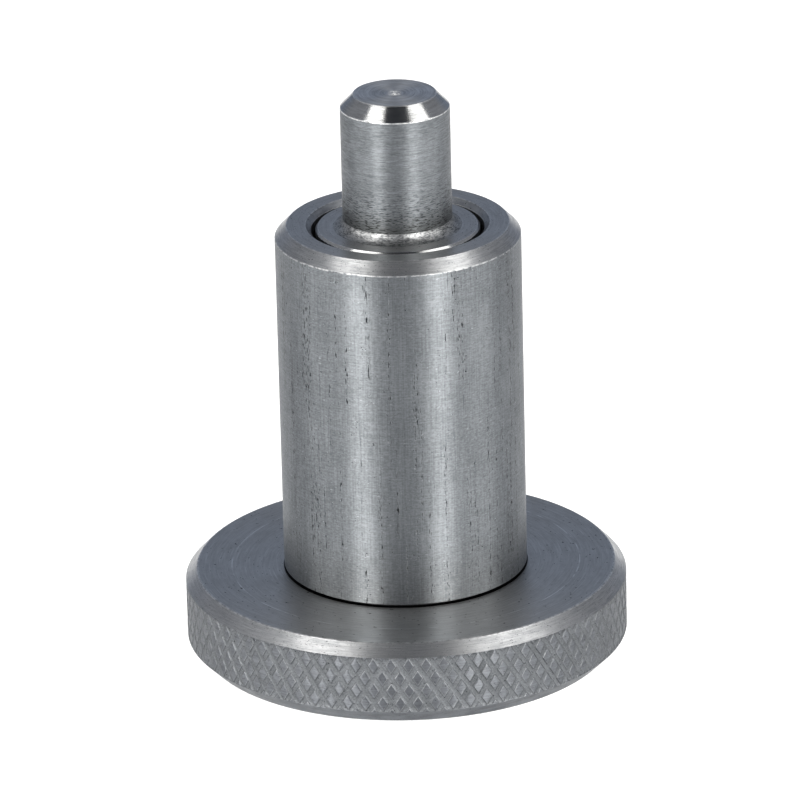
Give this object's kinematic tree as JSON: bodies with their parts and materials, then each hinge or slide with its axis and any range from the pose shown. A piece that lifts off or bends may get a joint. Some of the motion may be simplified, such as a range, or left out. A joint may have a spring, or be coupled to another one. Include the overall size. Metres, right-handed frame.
{
  "type": "indexing plunger",
  "caption": "Smooth round steel sleeve with a sprung locking pin at the front and a knurled disc knob at the back that pulls the pin in.",
  "frame": {"origin": "centre of the knob's flat underside, which the plunger stands on", "axes": "+Z along the pin, from the knob to the pin's tip; the part is round about Z, and +X is towards the right of the picture"},
  "size_m": [0.049, 0.049, 0.0644],
  "materials": {
    "sleeve_steel": "drawn bar, satin grey, with fine lengthwise scores",
    "pin_steel": "finely turned, with fine feed rings",
    "spring_wire": "drawn spring wire, dull bright",
    "knob_steel": "faced disc with a diamond knurled edge",
    "screw_steel": "bright zinc plated"
  },
  "bodies": {
    "sleeve": {"sleeve": "sleeve_steel"},
    "spring": {"return_spring": "spring_wire"},
    "plunger": {"plunger_pin": "pin_steel", "knurled_knob": "knob_steel", "knob_screw": "screw_steel"}
  },
  "joints": [
    {"name": "pull", "type": "slide", "parent": "sleeve", "child": "spring", "axis": [0, 0, -1], "range_m": [0, 0.015], "stiffness_N_per_m": 3280, "springref_m": -0.0075, "deforming": ["return_spring"]},
    {"name": "knob_spin", "type": "hinge", "parent": "spring", "child": "plunger", "pos_m": [0, 0, 0.0047], "axis": [0, 0, 1], "continuous": true}
  ]
}
